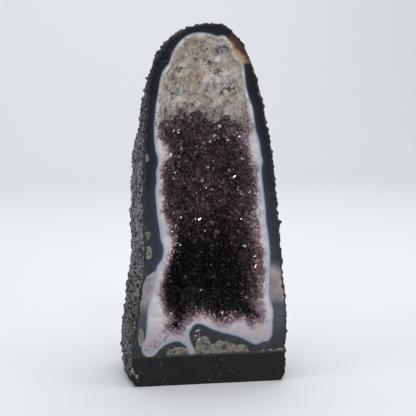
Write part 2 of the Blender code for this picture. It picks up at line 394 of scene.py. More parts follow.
# where the agate ends and the quartz starts, on the sawn face: the pale blue line.
# four runs, clockwise from the top left
blueLine = (
    ((-26.1, 303.1), (-20.2, 308.3), (-13.2, 311.2), (-5, 311.8), (2.1, 310.6), (6.8, 308.9), (12.7, 309.5)),
    ((17.4, 306.1), (19.8, 302.6), (23.4, 292.8), (29.4, 287), (31.2, 278.9), (32.4, 267.2),
     (35.5, 255.5), (38.5, 247.3), (39.8, 239.1), (41.6, 227.3), (44.7, 217.8), (46, 208.3),
     (47.8, 200), (46.7, 192.8), (47.9, 180.9), (49.2, 170.1), (50.6, 158), (51.2, 147.4),
     (53.1, 135.3), (54.7, 123.1), (55.1, 111), (55.2, 97.6), (54.7, 80.5), (56.6, 71.8), (58.5, 64.4)),
    ((58, 55.8), (57.4, 44.7), (55, 38.6), (48.8, 37), (42.6, 35.2), (36.5, 38.1), (29.1, 42.1),
     (20.5, 45), (10.7, 47.8), (2.2, 51.2), (-5.1, 55.2), (-11.2, 56.1), (-16, 52.6), (-18.5, 46.6),
     (-17.3, 39.2), (-13.7, 31.5), (-15.8, 28.5), (-17.9, 31), (-20.9, 36.9), (-26.9, 40.8), (-34.2, 40.5),
     (-41.4, 37.2), (-46.2, 33.1), (-49.6, 29.2)),
    ((-55, 28.3), (-58.8, 31.2), (-59.4, 38.6), (-56.3, 44.5), (-55.1, 54.2), (-54.4, 66.2), (-52.5, 77),
     (-49.5, 86.6), (-47.1, 98.5), (-45.6, 108), (-41, 115.1), (-39.8, 124.6), (-42.1, 133),
     (-43.8, 146.1), (-45.5, 158), (-46.6, 175.6), (-45.6, 183.8), (-45.9, 192), (-44.1, 201.4),
     (-46.4, 211.9), (-47.5, 222.4), (-47.2, 234.1), (-45.6, 251.4), (-43.8, 260.6), (-42, 272.2),
     (-39, 280.2), (-34.3, 285.9), (-31.2, 295)),
)

# where the crystals start, on the sawn face
crystalLine = (
    ((-25.3, 301), (-19.5, 306.8), (-13, 309.6), (-5, 310.3), (2, 309.1), (6.8, 307.3), (12, 307.8)),
    ((16, 304.8), (18.4, 301.5), (21.5, 292.2), (27.8, 286), (29.6, 278.4), (30.8, 266.8), (33.8, 255),
     (36.4, 246), (37.4, 238), (36.2, 229.7), (34.4, 221.5), (35.7, 209.6), (38.1, 200.1),
     (41.8, 191.7), (42.5, 179.8), (43.2, 165.6), (42.6, 153.6), (44.5, 141.5), (45.8, 129.4),
     (48.9, 117.2), (49, 105.1), (49.1, 88), (48.6, 78.2), (46.2, 68.5)),
    ((49.9, 62.2), (48.7, 56.1), (43.8, 56.3), (38.9, 52.8), (32.7, 58), (25.3, 58.3), (18, 56.1),
     (10.7, 55.2), (4.6, 59.1), (-1.5, 63), (-8.8, 63.9), (-16, 59.9), (-20.9, 54), (-25.7, 48.7),
     (-32.9, 49.6)),
    ((-37.7, 53.5), (-33.5, 59.4), (-37.7, 65.6), (-41.2, 74.2), (-41.8, 83.9), (-41.7, 93.5),
     (-38.7, 103), (-35.1, 114.9), (-32.6, 123.2), (-30.8, 131.5), (-34.4, 136.4), (-34.9, 147.1),
     (-39.6, 155.5), (-39.6, 163.7), (-40.1, 181.4), (-40.6, 196.6), (-34.7, 205.9), (-37, 214.2),
     (-42.8, 221.2), (-43.8, 233), (-44.3, 250), (-42.5, 260), (-40.6, 271), (-37.5, 279),
     (-32.9, 285), (-29.6, 294)),
)


def edgeSides(edge):
    # a line's top and bottom from left to right, its left and right downwards
    dense = ringThrough(edge)
    sides, start = [], 0
    for run in edge:
        end = start + len(run) * 12
        sides.append(evenly(dense[start:end + 1], 400))
        start = end
    top, right, bottom, left = sides
    return top, bottom[::-1], left[::-1], right


def coatSection(left, right, inset=0.0, setBack=0.0):
    # one level ring of the rock, from the face's right edge round the back to its left edge
    middleX, middleZ = (left[0] + right[0]) / 2, (left[1] + right[1]) / 2
    half, tilt = (right[0] - left[0]) / 2, (right[1] - left[1]) / 2
    depth = readTable(stone["depth"], middleZ)
    over = climb(middleZ, stone["crownStart"], stone["height"])
    depth = depth * math.sqrt(1 - over**2)
    angle = np.linspace(0, math.pi, 121)
    across, back = np.cos(angle), np.sin(angle)
    width = np.sign(across) * np.abs(across) ** readTable(stone["sidePower"], middleZ)
    width = width * (1 + readTable(stone["swell"], middleZ) * back)
    y = faceY + setBack + (depth - inset - setBack) * np.abs(back) ** stone["backPower"]
    ring = np.stack([middleX + (half - inset) * width, y, middleZ + tilt * across], axis=1)
    if depth < 0.01:
        return np.repeat(ring[:1], stone["columns"] + 1, axis=0)
    return evenly(ring, stone["columns"])


def roughCoat(points):
    # lumps, worm-like ridges, pits and knobs; returns the points moved and the fine relief
    away = normalsOf(points)
    if away[len(away) // 2, away.shape[1] // 2, 1] < 0:
        away = -away
    away[:, (0, -1), 1] = 0
    away = unit(away)
    fromFace = points[..., 1] - faceY
    out = sum(noiseAt(points, size) * height for size, height in stone["lumps"])
    out = out * climb(fromFace, 0, stone["lumpFade"])
    warp = points + stone["wormBend"] * noiseAt(points, 4.0)[..., None]
    worms = 1 - 2 * np.abs(noiseAt(warp * (1, 1, 0.75), stone["wormSize"]))
    pits = climb(noiseAt(points + 50, stone["pitSize"]), 0.08, 0.43)
    knobs = np.clip(noiseAt(points + 20, stone["knobSize"]) + 0.02, 0, 1)
    fine = worms * stone["wormHeight"] - pits * stone["pitDepth"] + knobs * stone["knobHeight"] - 0.6
    for x, y, z, reach, height in stone["knobs"]:
        fine += height * np.exp(-((points - (x, y, z))**2).sum(axis=2) / reach**2)
    # a little lower along the sawn edge
    edge = 0.85 + 0.15 * climb(fromFace, 0, 3)
    moved = points + away * (out + fine * edge)[..., None]
    moved[..., 1] = np.maximum(moved[..., 1], faceY)
    moved[:, (0, -1), 1] = points[:, (0, -1), 1]
    return moved, worms * 0.5 + 0.5 - pits


leftEdge = evenly(curveThrough(stone["left"]), stone["rows"])
rightEdge = evenly(curveThrough(stone["right"]), stone["rows"])
coatPoints, coatRelief = roughCoat(np.array([coatSection(a, b) for a, b in zip(leftEdge, rightEdge)]))
coatPoints[0, :, 2] = leftEdge[0, 1]
coatPoints[-1] = coatPoints[-2, (0, -1)].mean(axis=0) + (0, 0, 0.1)
print("coat shaped")

blueAll = ringThrough(blueLine)
crystalAll = ringThrough(crystalLine)


# the hollow's wall as a sheet between the four sides of its edge

hollow = {
    "rockDepth": ((85, 86), (130, 79), (200, 60), (262, 34)),
    "depth": ((85, 74), (130, 67), (200, 48), (262, 22)),
    "bluntAcross": 2.6, "bluntAlong": 7.0, "backRows": 30, "backColumns": 24, "backGap": 0.6,
}


def hollowSheet(edge, depths, shrink, rows, columns):
    # evenly spaced, rows downwards and columns to the right
    top, bottom, left, right = edgeSides(edge)

    def rise(share, blunt):
        return np.sqrt(np.maximum(0, 1 - np.abs(2 * share - 1) ** blunt))

    def wall(u, v):
        u, v = np.broadcast_arrays(np.asarray(u, float), np.asarray(v, float))
        a, b = u[..., None], v[..., None]
        flat = readLine(top, u) * (1 - b) + readLine(bottom, u) * b
        flat = flat + readLine(left, v) * (1 - a) + readLine(right, v) * a
        flat = flat - (top[0] * (1 - a) + top[-1] * a) * (1 - b)
        flat = flat - (bottom[0] * (1 - a) + bottom[-1] * a) * b
        deep = (readTable(depths, flat[..., 1]) - shrink) * rise(u, hollow["bluntAcross"])
        deep = deep * rise(v, hollow["bluntAlong"])
        return np.stack([flat[..., 0], faceY + deep, flat[..., 1]], axis=-1)

    steps = np.linspace(0, 1, 401)
    across = evenShares(wall(steps, 0.5), columns)
    down = evenShares(wall(0.5, steps), rows)
    return wall(across[None, :], down[:, None])


def rimOf(grid):
    # the sheet's outer ring, clockwise from the top left, its first point again at the end
    ring = np.vstack([grid[0, :-1], grid[:-1, -1], grid[-1, :0:-1], grid[:0:-1, 0]])
    return np.vstack([ring, ring[:1]])


def closeBack(bm, edge, depths, shrink):
    # a plain hidden wall that closes the piece behind, joined to its ring of open edges
    rim = openEdges(bm)
    coarse = hollowSheet(edge, depths, shrink, hollow["backRows"], hollow["backColumns"])
    coarse[..., 1] = np.maximum(coarse[..., 1], faceY + 3)
    made = set(addGrid(bm, coarse))
    bmesh.ops.bridge_loops(bm, edges=rim + [e for e in openEdges(bm) if e.verts[0] in made])
    bmesh.ops.recalc_face_normals(bm, faces=bm.faces)


def coatFinish():
    f = Finish("roughCoat", Roughness=0.8)
    relief = f.attribute("relief")
    worms = (f.noise(2.3, 2, 0.6, 0.8) - 0.5) * 2.8
    grain = f.noise(0.9, 2, 0.6)
    patch = f.noise(26, 2)
    # partly painted shade: the relief's pits come out darker and its ridges lighter, on top of the coat's own
    # speckled grey
    tone = relief * 0.9 + worms + grain * 0.5 + patch * 0.5 - 0.53 - f.z.rise(190, 290) * 0.42
    tone = (tone - f.z.rise(140, 60) * 0.2).calc("MINIMUM", 1.0)
    color = f.ramp(tone, (0.0, (9, 9, 10)), (0.24, (34, 34, 37)), (0.42, (92, 92, 96)),
                   (0.7, (118, 118, 122)), (1.0, (150, 150, 154)))
    pits = f.noise(3.5, 2, 0.5, 0.5).rise(0.56, 0.6)
    color = f.mix(pits * 0.9, color, (9, 9, 10))
    # the strip beside the sawn face is darker
    color = f.mix((f.y - faceY + grain * 5).rise(5, 2.5) * 0.5, color, (24, 25, 26))
    f.feed(Base_Color=color, Roughness=tone * -0.25 + 0.85)
    f.bump(worms * 0.3 + grain, 0.5, 0.7)
    return f


# marks on the sawn agate, across and up from the geode's foot
agateMarks = {
    # how dark the blue is: height and tone
    "depth": ((27, 0.22), (60, 0.33), (110, 0.52), (160, 0.38), (215, 0.31), (255, 0.2), (320, 0.1)),
    # upper edge of the mineral grains along the foot
    "grainTop": ((-40, 26), (-37, 31.5), (-31, 35), (-24, 35.5), (-18, 31), (-15.5, 28), (-12.5, 32),
                 (-10.8, 42), (-5.3, 45), (-1.7, 43), (2, 37.5), (6, 38.5), (10, 39), (19, 37), (33, 34),
                 (37, 28.5), (48, 28.5), (62, 29.5)),
    # place, half width and half height
    "blobs": ((-55, 204.5, 2.3, 3.4), (-54.3, 136.4, 2.4, 3.2), (-54, 121, 3.2, 5.6), (-61, 45, 2.4, 8)),
    # start, end and half width
    "hairlines": (
        (-52.5, 243, -39, 241.5, 0.22), (-56, 141, -50, 138.5, 0.22), (51.5, 172, 57.5, 170, 0.22),
        (51.5, 28, 47.5, 36.5, 0.25), (53.5, 37, 58, 28, 0.25), (55, 50, 66, 52, 0.2),
        (33, 34, 42, 38.5, 0.22), (-33, 37.5, -38.5, 31.5, 0.22), (-44, 287, -32, 289, 0.2),
        (-35, 300, -30, 290, 0.2), (-63, 50, -56, 38, 0.25), (30, 41, 27, 32, 0.2),
        (49, 119.5, 63, 116, 0.3), (52, 84, 68, 80, 0.3)),
}


def agateFinish():
    f = Finish("polishedAgate", Roughness=0.13, IOR=1.54, Specular_IOR_Level=0.4)
    blue = f.attribute("fromBlue")
    coat = f.attribute("fromCoat")
    cloud = f.noise(24, 3, 0.5, 0.6)
    fine = f.noise(5, 3)
    # slate blue, nearly black at the top; the extra darkening towards the top left is a painted reflection in
    # the polished face
    tone = f.curve(f.z, agateMarks["depth"]) + (cloud - 0.5) * 0.3
    tone = tone - f.z.rise(200, 270) * f.x.rise(0, -40) * 0.12
    color = f.ramp(tone, (0.0, (9, 10, 13)), (0.25, (16, 19, 26)), (0.5, (27, 33, 46)),
                   (0.75, (42, 50, 67)), (1.0, (62, 70, 86)))
    # lighter beside the quartz, in thin bands that follow it
    bands = (blue + (cloud - 0.5) * 1.6).calc("PINGPONG", 0.9) * 0.5
    shine = (0.12 + bands * 0.66) * (0.4 + f.z.rise(290, 200) * 0.42) * (0.4 + f.z.rise(60, 75) * 0.6)
    color = f.mix((blue + (fine - 0.5) * 1.5).rise(5.5, 0.6) * shine, color, (78, 94, 114))
    # greyer and hazy under the quartz
    haze = f.noise(8, 3, 0.6, 1.0).rise(0.45, 0.8) * f.z.rise(56, 46) * f.x.rise(-52, -40)
    color = f.mix(haze * 0.4, color, (80, 80, 84))
    # grey and grey-beige zones low on both sides, with slanting upper ends
    rough = (fine - 0.5) * 0.5
    aside = f.x.calc("ABSOLUTE").rise(44, 48)
    grey = f.z.rise(38, 58) * (f.z + f.x * 0.3 - 128.5).rise(0.8, -0.8) * aside * (1 + rough)
    grey = grey * (f.z - f.x * 0.6 - 133).rise(0.8, -0.8)
    color = f.mix(grey * 0.7, color, (76, 76, 83))
    leftPale = (f.z - f.x * 0.6 - 133).rise(0.8, -0.4) * f.z.rise(64, 82) * f.x.rise(-36, -40)
    rightPale = (f.z + f.x * 0.3 - 122).rise(4.5, -2.5) * f.z.rise(71, 78) * f.x.rise(44, 48)
    beige = f.mix(f.noise(9, 3).rise(0.35, 0.65), (134, 127, 131), (178, 167, 154))
    color = f.mix((leftPale + rightPale) * (0.9 + rough * 0.3), color, beige)
    # brown stained wedge at the upper right
    wedge = (f.x - f.z * 0.42 + 111.0 + (fine - 0.5) * 2.5).rise(-0.8, 0.6)
    wedge = wedge * f.z.rise(285, 288) * f.x.rise(5, 12)
    stain = f.ramp(blue * 0.085 + f.noise(5, 3) * 0.8 - 0.4 + f.z.rise(296, 306) * 0.3,
                   (0.0, (178, 164, 142)), (0.24, (160, 132, 98)), (0.38, (140, 96, 58)),
                   (0.48, (88, 56, 46)), (0.75, (62, 42, 40)), (1.0, (48, 40, 42)))
    color = f.mix(wedge, color, stain)
    # brown grains with green outlines along the foot and in blobs beside the rind
    top = f.curve(f.x, agateMarks["grainTop"], 50.0)
    under = top + (f.noise(7, 2) - 0.5) * 7 + (f.noise(2.6, 2) - 0.5) * 4 - f.z
    blobs = f.patches(agateMarks["blobs"]) + 0.15 + (f.noise(3, 2) - 0.5) * 1.2
    under = (under * blue.rise(0.7, 1.4)).calc("MAXIMUM", blobs * 1.6)
    shown = under.rise(0.0, 0.5)
    edges = f.cells(2.9, feature="DISTANCE_TO_EDGE")
    mineral = f.mix(f.noise(3.5, 3).rise(0.4, 0.6), (104, 82, 70), (146, 116, 98))
    mineral = f.mix(f.noise(4.5, 3).rise(0.5, 0.57), mineral, (44, 52, 56))
    mineral = f.mix(edges.rise(0.12, 0.04) * f.noise(5, 2).rise(0.3, 0.45), mineral, (104, 130, 120))
    mineral = f.mix(under.near(0.45, 0.6) * f.noise(4, 2).rise(0.4, 0.52), mineral, (136, 156, 146))
    whiteBits = (f.x + 9).near(0, 6) * (f.z - 45.5).near(0, 6) * f.noise(3.5, 2).rise(0.5, 0.6)
    color = f.mix(shown, color, mineral)
    color = f.mix(whiteBits.rise(0.12, 0.3) * blue.rise(1.0, 2.0), color, (196, 196, 192))
    # cement lapped over the lowest edge
    lap = (f.z + (f.noise(4, 3) - 0.5) * 3).rise(28.6, 28.0)
    color = f.mix(lap * 0.85, color, (24, 24, 25))
    # pale hairlines in the glassy part
    hairs = []
    for x0, z0, x1, z1, wide in agateMarks["hairlines"]:
        length = math.hypot(x1 - x0, z1 - z0)
        dx, dz = (x1 - x0) / length, (z1 - z0) / length
        alongIt = (f.x - x0) * dx + (f.z - z0) * dz
        offIt = (f.x - x0) * -dz + (f.z - z0) * dx + (fine - 0.5) * 1.6
        hairs.append(offIt.near(0, wide) * (alongIt - length / 2).near(0, length / 2 + 1))
    color = f.mix(largest(hairs) * 0.45, color, (168, 162, 156))
    # the pale blue line against the quartz
    paleBlue = f.mix(f.x.rise(-25, 10), (142, 158, 178), (104, 130, 158))
    edge = blue + (fine - 0.5) * 0.6
    color = f.mix((0.95 - edge).rise(-0.3, 0.25) * (1 - wedge) * 0.85, color, paleBlue)
    # dark basalt rind with green and beige specks
    rindWide = 1.3 + f.x.rise(-20, -50) * 0.3
    ragged = coat + (f.noise(6, 3) - 0.5) * 2.6 + (f.noise(2.2, 2) - 0.5) * 1.6 - rindWide
    rind = ragged.rise(0.25, -0.15) * (1 - wedge * 0.8)
    crumbs = f.noise(1.4, 3, 0.7)
    crumbly = crumbs.rise(0.5, 0.68) * (1 - f.z.rise(200, 290) * 0.5)
    basalt = f.mix(crumbly, (17, 17, 18), (74, 74, 72))
    olive = f.noise(14, 2).rise(0.46, 0.56) * f.noise(2.6, 2).rise(0.46, 0.56)
    olive = olive * f.x.rise(26, 34) * f.z.rise(225, 240)
    basalt = f.mix(olive * 0.9, basalt, (124, 110, 82))
    color = f.mix(rind, color, basalt)
    seam = ragged.near(0.4, 0.4) * f.noise(3, 2).rise(0.48, 0.62) * f.x.rise(-20, -40) * f.z.rise(275, 245)
    color = f.mix(seam * 0.7, color, (124, 130, 112))
    f.feed(Base_Color=color, Roughness=rind * 0.6 + shown * 0.3 + 0.12)
    f.bump(crumbs * rind, 0.4, 0.5)
    return f


def footFinish():
    f = Finish("castFoot", Roughness=0.5, Specular_IOR_Level=0.3)
    cloud = f.noise(14, 4, 0.6)
    color = f.mix(cloud.rise(0.3, 0.75), (7, 7, 8), (16, 16, 17))
    specks = f.noise(2.2, 3, 0.7).rise(0.58, 0.68) * f.noise(16, 2).rise(0.42, 0.6)
    color = f.mix(specks * 0.7, color, (84, 84, 86))
    dust = f.noise(1.6, 3, 0.7).rise(0.56, 0.66) * (f.z + (f.noise(9, 2) - 0.5) * 8).rise(7, 1)
    color = f.mix(dust * 0.5, color, (74, 74, 76))
    chips = f.noise(3.2, 3, 0.6).rise(0.58, 0.62) * f.x.rise(-60, -64) * f.z.rise(20, 15)
    color = f.mix(chips, color, (160, 158, 140))
    topEdge = (f.z + (f.noise(3, 3) - 0.5) * 2.4).rise(26.2, 27.2)
    color = f.mix(topEdge * 0.5, color, (84, 82, 76))
    f.feed(Base_Color=color, Roughness=cloud * 0.25 + 0.36)
    f.bump(f.noise(1.2, 3, 0.6), 0.15, 0.4)
    return f


coat = coatFinish()
agate = agateFinish()
cement = footFinish()
print("rock finishes made")


blueRing = np.stack([blueAll[:-1, 0], np.full(len(blueAll) - 1, faceY), blueAll[:-1, 1]], axis=1)


def addCoat(bm, points, fine):
    relief = bm.verts.layers.float.new("relief")
    for v, value in zip(addGrid(bm, points), fine.ravel()):
        v[relief] = value


def makeRock():
    bm = bmesh.new()
    addCoat(bm, coatPoints, coatRelief)
    # the sawn face lies between the coat's edge, the foot line and the pale blue line
    footLine = np.linspace(coatPoints[0, 0], coatPoints[0, -1], stone["bottomSteps"] + 2)[1:-1]
    outer = np.vstack([coatPoints[:, -1], coatPoints[-2::-1, 0], footLine])
    addFlat(bm, outer, blueRing, 1, stone["faceStep"])
    base = [e for e in openEdges(bm) if all(v.co.z < (stone["bottom"] + 0.01) * mm for v in e.verts)]
    bmesh.ops.holes_fill(bm, edges=base, sides=0)
    for f in bm.faces:
        f.smooth = f.material_index == 0
    closeBack(bm, blueLine, hollow["rockDepth"], 0.0)
    piece = makePiece("rock_body", bm, (coat, agate), "rock_shell")
    outline = np.vstack([coatPoints[:, -1], coatPoints[:-1, 0][::-1]])[:, (0, 2)]
    giveDistances(piece.data, 0.05, fromBlue=(blueAll[::3], 20.0), fromCoat=(outline, 0.0))
    return piece


rock = makeRock()
print("rock made", len(rock.data.polygons))


# the cast foot: the coat runs down its side, smooth black cement in front

foot = {
    "left": -69.5, "right": 70.0, "rounding": 8.0, "drawnIn": 6.4, "chamfer": 1.0, "step": 1.1,
    "wear": 0.25, "lowLevels": (6.6, 5.5, 4.4, 3.4, 2.5, 1.7, 1.0, 0.5, 0.2, 0.0),
}


def makeFoot():
    bm = bmesh.new()
    levels = [stone["bottom"] - 1 - k * foot["step"] for k in range(17)]
    levels = [stone["bottom"] - 0.05, *levels, *foot["lowLevels"]]
    rings = []
    for z in levels:
        below = max(0.0, 1 - z / foot["rounding"])
        inset = foot["drawnIn"] * (1 - math.sqrt(1 - below**2))
        setBack = max(0.0, foot["chamfer"] - z)
        rings.append(coatSection((foot["left"], z), (foot["right"], z), inset, setBack))
    rings = np.array(rings)
    frontY = rings[:, 0, 1].copy()
    shaped, fine = roughCoat(rings)
    shaped[0] = np.where(np.arange(3) == 2, levels[0], coatPoints[0])
    shaped[..., 2] = np.array(levels)[:, None]
    shaped[:, (0, -1), 1] = frontY[:, None]
    addCoat(bm, shaped, fine)
    # the front: straight across from the left corner to the right one, level by level
    front = np.linspace(shaped[:, -1], shaped[:, 0], stone["bottomSteps"] + 2).transpose(1, 0, 2)
    wear = foot["wear"] * noiseAt(front, 7) * climb(front[..., 2], stone["bottom"], stone["bottom"] - 3)
    front[..., 1] = front[..., 1] + np.abs(wear)
    front[:, (0, -1)] = shaped[:, (-1, 0)]
    for f in facesOf(addGrid(bm, front)):
        f.material_index = 1
    bmesh.ops.remove_doubles(bm, verts=bm.verts, dist=1e-6)
    for f in bm.faces:
        f.smooth = True
    bmesh.ops.holes_fill(bm, edges=openEdges(bm), sides=0)
    bmesh.ops.recalc_face_normals(bm, faces=bm.faces)
    return makePiece("foot_body", bm, (coat, cement), "cast_foot")


footBody = makeFoot()
print("foot made", len(footBody.data.polygons))


# the crust: sawn quartz round the edge, purple points inside, pale calcite at the top

crust = {
    "rows": 230, "columns": 160, "bandStep": 1.2,
    "paleFrom": ((-45, 232), (-34, 236), (-18, 241), (1, 239.5), (7, 233), (11, 231), (17.5, 237),
                 (24, 232), (30, 230), (40, 228)),
    "pitch": 1.95, "pointWide": (0.75, 2.1), "pointTall": (0.75, 1.4), "lean": 0.42, "seed": 5,
    "palePitch": 6.4, "paleWide": (1.1, 3.4), "paleTall": (0.2, 0.38), "paleLean": 0.22,
    # upper and lower points part at the first level, the calcite's ground is smooth above the second
    "splitAt": 150, "smoothFrom": 238,
    # share of points given a painted highlight, near-white and metal-like, and of those where it is darkest
    "glints": 0.032, "darkGlints": 0.014,
}


def paleMask(points):
    # above 0 where calcite grows: height over its lower edge, with a ragged outline
    ragged = 4.5 * noiseAt(points, 9) + 2.5 * noiseAt(points + 30, 4)
    return points[..., 2] - readTable(crust["paleFrom"], points[..., 0]) + ragged


liningGrid = hollowSheet(crystalLine, hollow["depth"], 0.0, crust["rows"], crust["columns"])
# the wall slopes in from the sawn edge before it drops away
fromEdge = distanceTo(liningGrid[..., (0, 2)].reshape(-1, 2), crystalAll[::3]).reshape(liningGrid.shape[:2])
slope = 7 * np.sqrt(fromEdge) + 3.2 * fromEdge
liningGrid[1:-1, 1:-1, 1] = np.minimum(liningGrid[..., 1], faceY + slope)[1:-1, 1:-1]
liningNormal = normalsOf(liningGrid)
if liningNormal[crust["rows"] // 2, crust["columns"] // 2, 1] > 0:
    liningNormal = -liningNormal
print("lining read")


# marks in the calcite: place, half width and half height
calciteMarks = {
    "brown": ((-10.5, 272, 11, 15), (-1, 252.6, 9, 7), (-22, 248.5, 7, 6)),
    "greyBlue": ((13.3, 299, 8, 5), (19, 271, 8, 7), (-24, 290, 9, 5), (-28, 260, 6, 7), (5, 264, 6, 5),
                 (12, 243, 7, 5)),
    "dendrites": ((11.6, 277.7, 4, 4), (4.5, 268.2, 3, 3), (-29, 262.3, 4, 4), (14.3, 259.5, 4, 3),
                  (-16.7, 241.5, 6, 3), (4.5, 239.5, 6, 3), (2.7, 285.5, 3, 5), (-31.5, 274.4, 3, 4),
                  (-23.6, 281, 5, 3), (-10, 250, 5, 3), (13, 298, 6, 4), (-4, 292, 8, 5), (22, 262, 6, 6)),
}


def calciteLook(f):
    # beige-white with brown middles, grey-blue patches, black dendrites and specks
    broad = f.noise(17, 3, 0.5, 0.8)
    fine = f.noise(4, 3, 0.6)
    color = f.mix(broad.rise(0.38, 0.58), (216, 206, 198), (170, 153, 135))
    color = f.mix(f.noise(11, 3, 0.55, 1.5).rise(0.54, 0.66) * 0.8, color, (142, 144, 150))
    color = f.mix(fine.rise(0.5, 0.72), color, (216, 206, 196))
    warp = (f.noise(9, 4, 0.7) - 0.5) * 3.84
    brown, greyBlue, dendrites = (
        (f.patches(places) + warp).rise(-0.1, 0.5) for places in calciteMarks.values())
    color = f.mix(greyBlue * f.noise(2.6, 3, 0.7).rise(0.38, 0.6) * 0.85, color, (104, 106, 112))
    color = f.mix(brown * f.noise(7, 3, 0.6).rise(0.3, 0.6) * 0.8, color, (152, 130, 104))
    dark = f.noise(3.4, 4, 0.75, 0.3).rise(0.48, 0.53) * dendrites
    specks = f.cells(3.6).rise(0.3, 0.2) * f.noise(9, 2).rise(0.46, 0.54)
    color = f.mix((dark + specks).calc("MINIMUM", 1.0) * 0.95, color, (22, 21, 25))
    red = f.noise(2.6, 2).rise(0.66, 0.72) * f.x.rise(-20, -34)
    # greyer where it ends, above the purple
    ending = (f.attribute("pale") + (f.noise(5, 2) - 0.5) * 16).rise(13, 1)
    color = f.mix(ending * f.noise(2.0, 3, 0.7).rise(0.42, 0.54) * 0.85, color, (70, 60, 66))
    color = f.mix(red * 0.6, color, (120, 70, 84))
    crumbs = f.noise(1.7, 3, 0.7)
    color = f.mix(crumbs.rise(0.55, 0.7) * 0.6, color, (236, 232, 228))
    return f.mix(crumbs.rise(0.45, 0.33) * 0.45, color, (104, 97, 94)), fine


def quartzLook(f, fromBlue, fromCrystals):
    # whitish and finely grained, brownish purple and ragged towards the crystals
    grain = f.noise(1.5, 3, 0.7)
    cloud = f.noise(6, 3, 0.6)
    color = f.mix(cloud.rise(0.35, 0.7), (184, 177, 181), (214, 208, 211))
    color = f.mix((fromBlue + (cloud - 0.5) * 2.4).rise(3.0, 0.6) * 0.65, color, (152, 166, 184))
    color = f.mix(f.z.rise(62, 40) * 0.7, color, (150, 141, 149))
    ragged = (grain - 0.5) * 8.0 + (cloud - 0.5) * 9.0
    pink = (fromCrystals + ragged - f.x.rise(-34, 5) * 0.3 - f.z.rise(80, 60)).rise(2.6, 0.0)
    color = f.mix(pink * 0.75, color, (150, 120, 130))
    purple = (fromCrystals + ragged * 0.8).rise(1.5, -0.6)
    color = f.mix(purple, color, (86, 52, 66))
    # a shallow trough runs from the hollow to the lower left corner
    trough = ((f.x + 44) * 0.7 - (f.z - 42) * 0.72 + (cloud - 0.5) * 4).near(0, 6) * f.x.rise(-32, -37)
    near = ((fromCrystals + (cloud - 0.5) * 12).rise(6, 1) + trough * 2.2).calc("MINIMUM", 1.0)
    blots = f.noise(2.4, 4, 0.75).rise(0.44, 0.58) * near * fromBlue.rise(0.8, 2.4)
    return f.mix(blots * 0.75, color, (112, 80, 92)), grain


def bandFinish():
    f = Finish("sawnQuartz", Roughness=0.16, IOR=1.54)
    color, grain = quartzLook(f, f.attribute("fromBlue"), f.attribute("fromCrystals"))
    calcite, fine = calciteLook(f)
    pale = f.attribute("pale").rise(-1, 1)
    color = f.mix(pale, color, calcite)
    f.feed(Base_Color=color, Roughness=grain * 0.3 + pale * 0.3 + 0.05)
    f.bump(grain, 0.25, 0.3)
    return f


def pointsFinish():
    # amethyst: tone runs from whitish quartz at the edge to dark brownish purple inside; its near-black end
    # is partly painted shade deep in the hollow
    f = Finish("amethyst", Roughness=0.1, IOR=1.544, Specular_IOR_Level=0.34, Transmission_Weight=0.12)
    tone = f.attribute("tone")
    shade = f.attribute("shade")
    color = f.ramp(tone, (0.0, (208, 197, 201)), (0.2, (172, 148, 154)), (0.4, (126, 100, 108)),
                   (0.62, (85, 65, 71)), (0.8, (53, 38, 43)), (1.0, (9, 5, 8)))
    color = f.mix(f.attribute("grey"), color, (128, 118, 118))
    color = f.mix(f.noise(26, 2).rise(0.48, 0.66) * tone.rise(1.0, 0.7) * 0.35, color, (104, 76, 64))
    color = f.mix(f.noise(33, 2).rise(0.52, 0.64) * tone.rise(0.4, 0.6) * 0.45, color, (40, 38, 44))
    color = f.mix(shade.rise(0.62, 1.0) * (1.1 - tone) * 1.3, color, (186, 166, 172))
    color = f.mix(shade.rise(0.34, 0.0) * 0.7, color, (14, 9, 12))
    # painted highlight: a few points get a near-white colour and a metal-like shine, so their faces flash as
    # glints
    glint = f.attribute("glint")
    color = f.mix(glint, color, (226, 220, 226))
    # most points are etched, a few are bright
    dull = f.attribute("dull") * 0.3 + 0.05 + glint * 0.08
    f.feed(Base_Color=color, Metallic=glint * 0.75, Roughness=dull)
    return f


def groundFinish():
    # what shows between the points
    f = Finish("druseGround", Roughness=0.5, IOR=1.54)
    # darker with depth into the hollow, partly the ground's own purple and partly painted shade
    deep = (f.y - faceY).rise(1, 16)
    grain = f.noise(2, 3, 0.6)
    color = f.mix((deep + grain * 0.4 - 0.2).calc("MINIMUM", 1.0), (134, 102, 116), (22, 12, 17))
    calcite, fine = calciteLook(f)
    color = f.mix(f.attribute("pale").rise(-0.6, 0.6), color, calcite)
    f.feed(Base_Color=color)
    f.bump(fine, 0.8, 0.6)
    return f


def calciteFinish():
    f = Finish("calcite", Roughness=0.45, IOR=1.5)
    color, fine = calciteLook(f)
    shade = f.attribute("shade")
    color = f.mix(shade.rise(0.7, 1.0) * 0.7, color, (228, 224, 220))
    color = f.mix(shade.rise(0.3, 0.0) * 0.5, color, (112, 104, 100))
    f.feed(Base_Color=color, Roughness=fine * 0.5 + 0.15)
    f.bump(fine, 0.5, 0.5)
    return f


sawnQuartz = bandFinish()
amethyst = pointsFinish()
druseGround = groundFinish()
calcite = calciteFinish()
print("crust finishes made")


